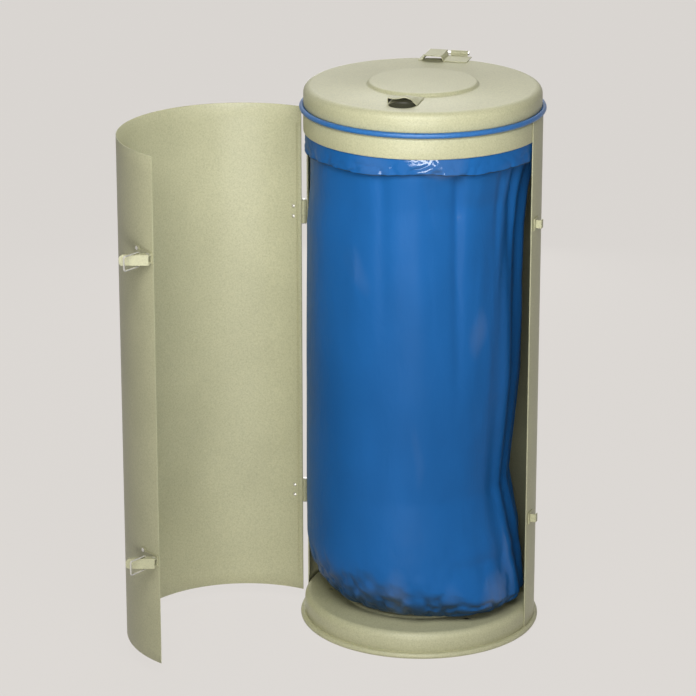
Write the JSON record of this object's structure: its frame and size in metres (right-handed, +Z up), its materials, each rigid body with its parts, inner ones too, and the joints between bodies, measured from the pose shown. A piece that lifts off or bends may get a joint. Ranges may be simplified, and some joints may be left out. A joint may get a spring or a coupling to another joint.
{
  "type": "steel waste bin",
  "caption": "Round steel waste-sack collector with a curved side door on toggle latches, a hinged pressed lid and a film sack clamped under a rubber-ringed collar.",
  "frame": {"origin": "on the floor, in the middle of the footprint of the bin with its door open as stored; the drum's upright axis stands at x 0.1248 m, y 0.1000 m", "axes": "+Z up along the drum, -Y towards the user who lifts the lid, +X to the user's right; the door is hinged on the left and hangs open"},
  "size_m": [0.6706, 0.6315, 0.96],
  "materials": {
    "hammer_paint": "semi-gloss speckled stoving enamel",
    "zinc": "zinc-plated steel",
    "blue_film": "glossy polythene film",
    "blue_rubber": "smooth satin rubber"
  },
  "bodies": {
    "housing": {"back_shell": "hammer_paint", "base_pan": "hammer_paint", "collar": "hammer_paint", "rubber_ring": "blue_rubber", "clamping_ring": "zinc", "sack": "blue_film", "lid_hinge_bracket": "hammer_paint", "lid_hinge_pin": "zinc", "bracket_rivet_1": "zinc", "bracket_rivet_2": "zinc", "upper_hinge_shell_leaf": "hammer_paint", "upper_hinge_shell_leaf_rivet_1": "zinc", "upper_hinge_shell_leaf_rivet_2": "zinc", "upper_hinge_pin": "zinc", "lower_hinge_shell_leaf": "hammer_paint", "lower_hinge_shell_leaf_rivet_1": "zinc", "lower_hinge_shell_leaf_rivet_2": "zinc", "lower_hinge_pin": "zinc", "upper_keeper": "hammer_paint", "lower_keeper": "hammer_paint"},
    "door": {"door": "hammer_paint", "upper_hinge_door_leaf": "hammer_paint", "upper_hinge_door_leaf_rivet_1": "zinc", "upper_hinge_door_leaf_rivet_2": "zinc", "lower_hinge_door_leaf": "hammer_paint", "lower_hinge_door_leaf_rivet_1": "zinc", "lower_hinge_door_leaf_rivet_2": "zinc", "upper_latch_base": "hammer_paint", "upper_latch_pin": "zinc", "upper_latch_rivet_1": "zinc", "upper_latch_rivet_2": "zinc", "lower_latch_base": "hammer_paint", "lower_latch_pin": "zinc", "lower_latch_rivet_1": "zinc", "lower_latch_rivet_2": "zinc"},
    "upper_lever": {"upper_latch_lever": "hammer_paint"},
    "upper_bail": {"upper_latch_bail": "zinc"},
    "lower_lever": {"lower_latch_lever": "hammer_paint"},
    "lower_bail": {"lower_latch_bail": "zinc"},
    "lid": {"lid": "hammer_paint", "lid_handle": "hammer_paint", "lid_hinge_leaf": "hammer_paint"}
  },
  "joints": [
    {"name": "door_swing", "type": "hinge", "parent": "housing", "child": "door", "pos_m": [-0.0805, 0.1, 0.46], "axis": [0, 0, -1], "range_deg": [-105.5, 64.5]},
    {"name": "lid_hinge", "type": "hinge", "parent": "housing", "child": "lid", "pos_m": [0.1248, 0.311, 0.9517], "axis": [-1, 0, 0], "range_deg": [0, 95]},
    {"name": "upper_latch_lever", "type": "hinge", "parent": "door", "child": "upper_lever", "pos_m": [-0.23644, -0.27962, 0.7275], "axis": [0, 0, 1], "range_deg": [-44, 60]},
    {"name": "upper_latch_bail", "type": "hinge", "parent": "upper_lever", "child": "upper_bail", "pos_m": [-0.24926, -0.282, 0.7275], "axis": [0, 0, -1], "range_deg": [-130, 44]},
    {"name": "lower_latch_lever", "type": "hinge", "parent": "door", "child": "lower_lever", "pos_m": [-0.23644, -0.27962, 0.2065], "axis": [0, 0, 1], "range_deg": [-44, 60]},
    {"name": "lower_latch_bail", "type": "hinge", "parent": "lower_lever", "child": "lower_bail", "pos_m": [-0.24926, -0.282, 0.2065], "axis": [0, 0, -1], "range_deg": [-130, 44]}
  ]
}
